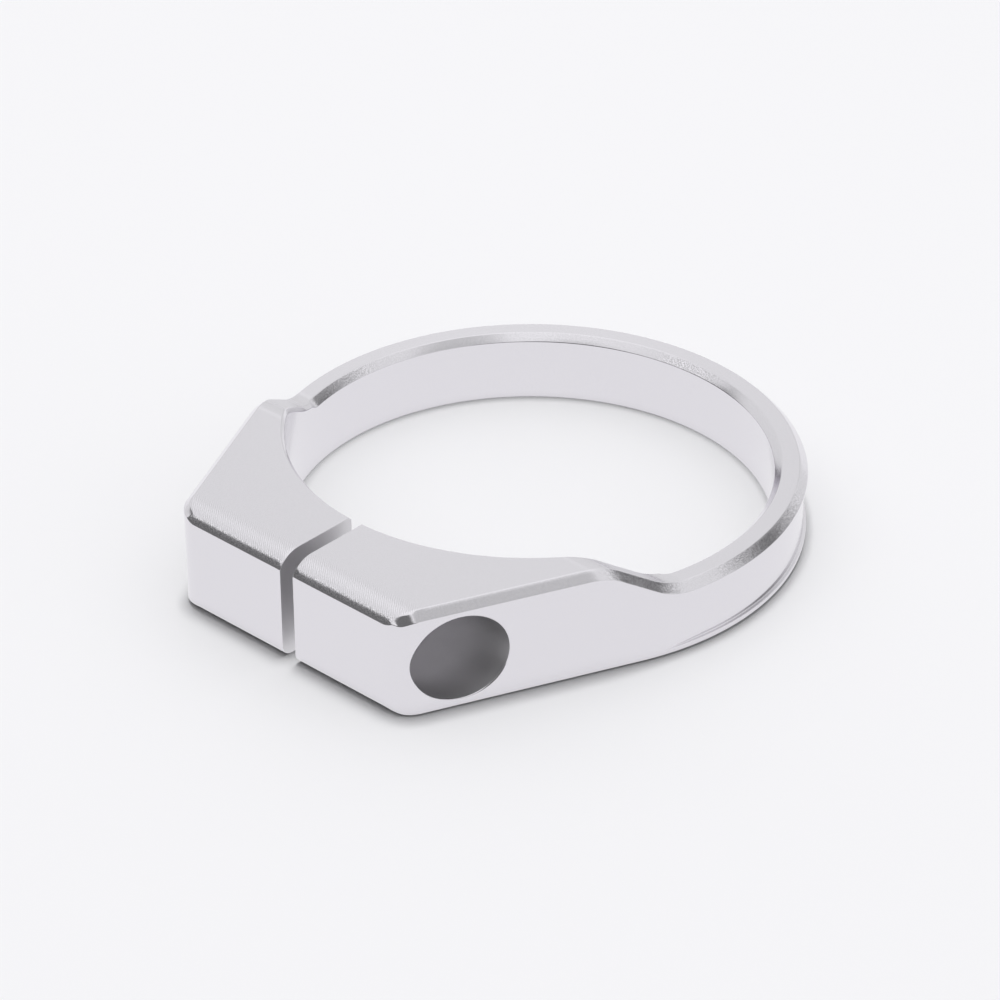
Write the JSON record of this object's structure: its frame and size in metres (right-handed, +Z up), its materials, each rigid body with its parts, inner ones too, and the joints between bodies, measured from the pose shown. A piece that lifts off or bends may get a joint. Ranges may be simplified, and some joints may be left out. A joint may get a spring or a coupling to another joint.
{
  "type": "steerer tube clamp",
  "caption": "Split ring clamp for a steerer tube: a thin ring that rises into a wedge of two lugs, parted by a slit and drawn together by a cross screw.",
  "frame": {"origin": "on the bore's axis, level with the flat underside", "axes": "+Z up along the bore's axis, -Y towards the slit and the lugs' flat front, +X towards the side the screw goes in"},
  "size_m": [0.0324, 0.0362, 0.0067],
  "materials": {
    "satin_aluminium": "satin silver anodised over fine milling marks"
  },
  "bodies": {
    "root": {"clamp_body": "satin_aluminium"}
  },
  "joints": []
}
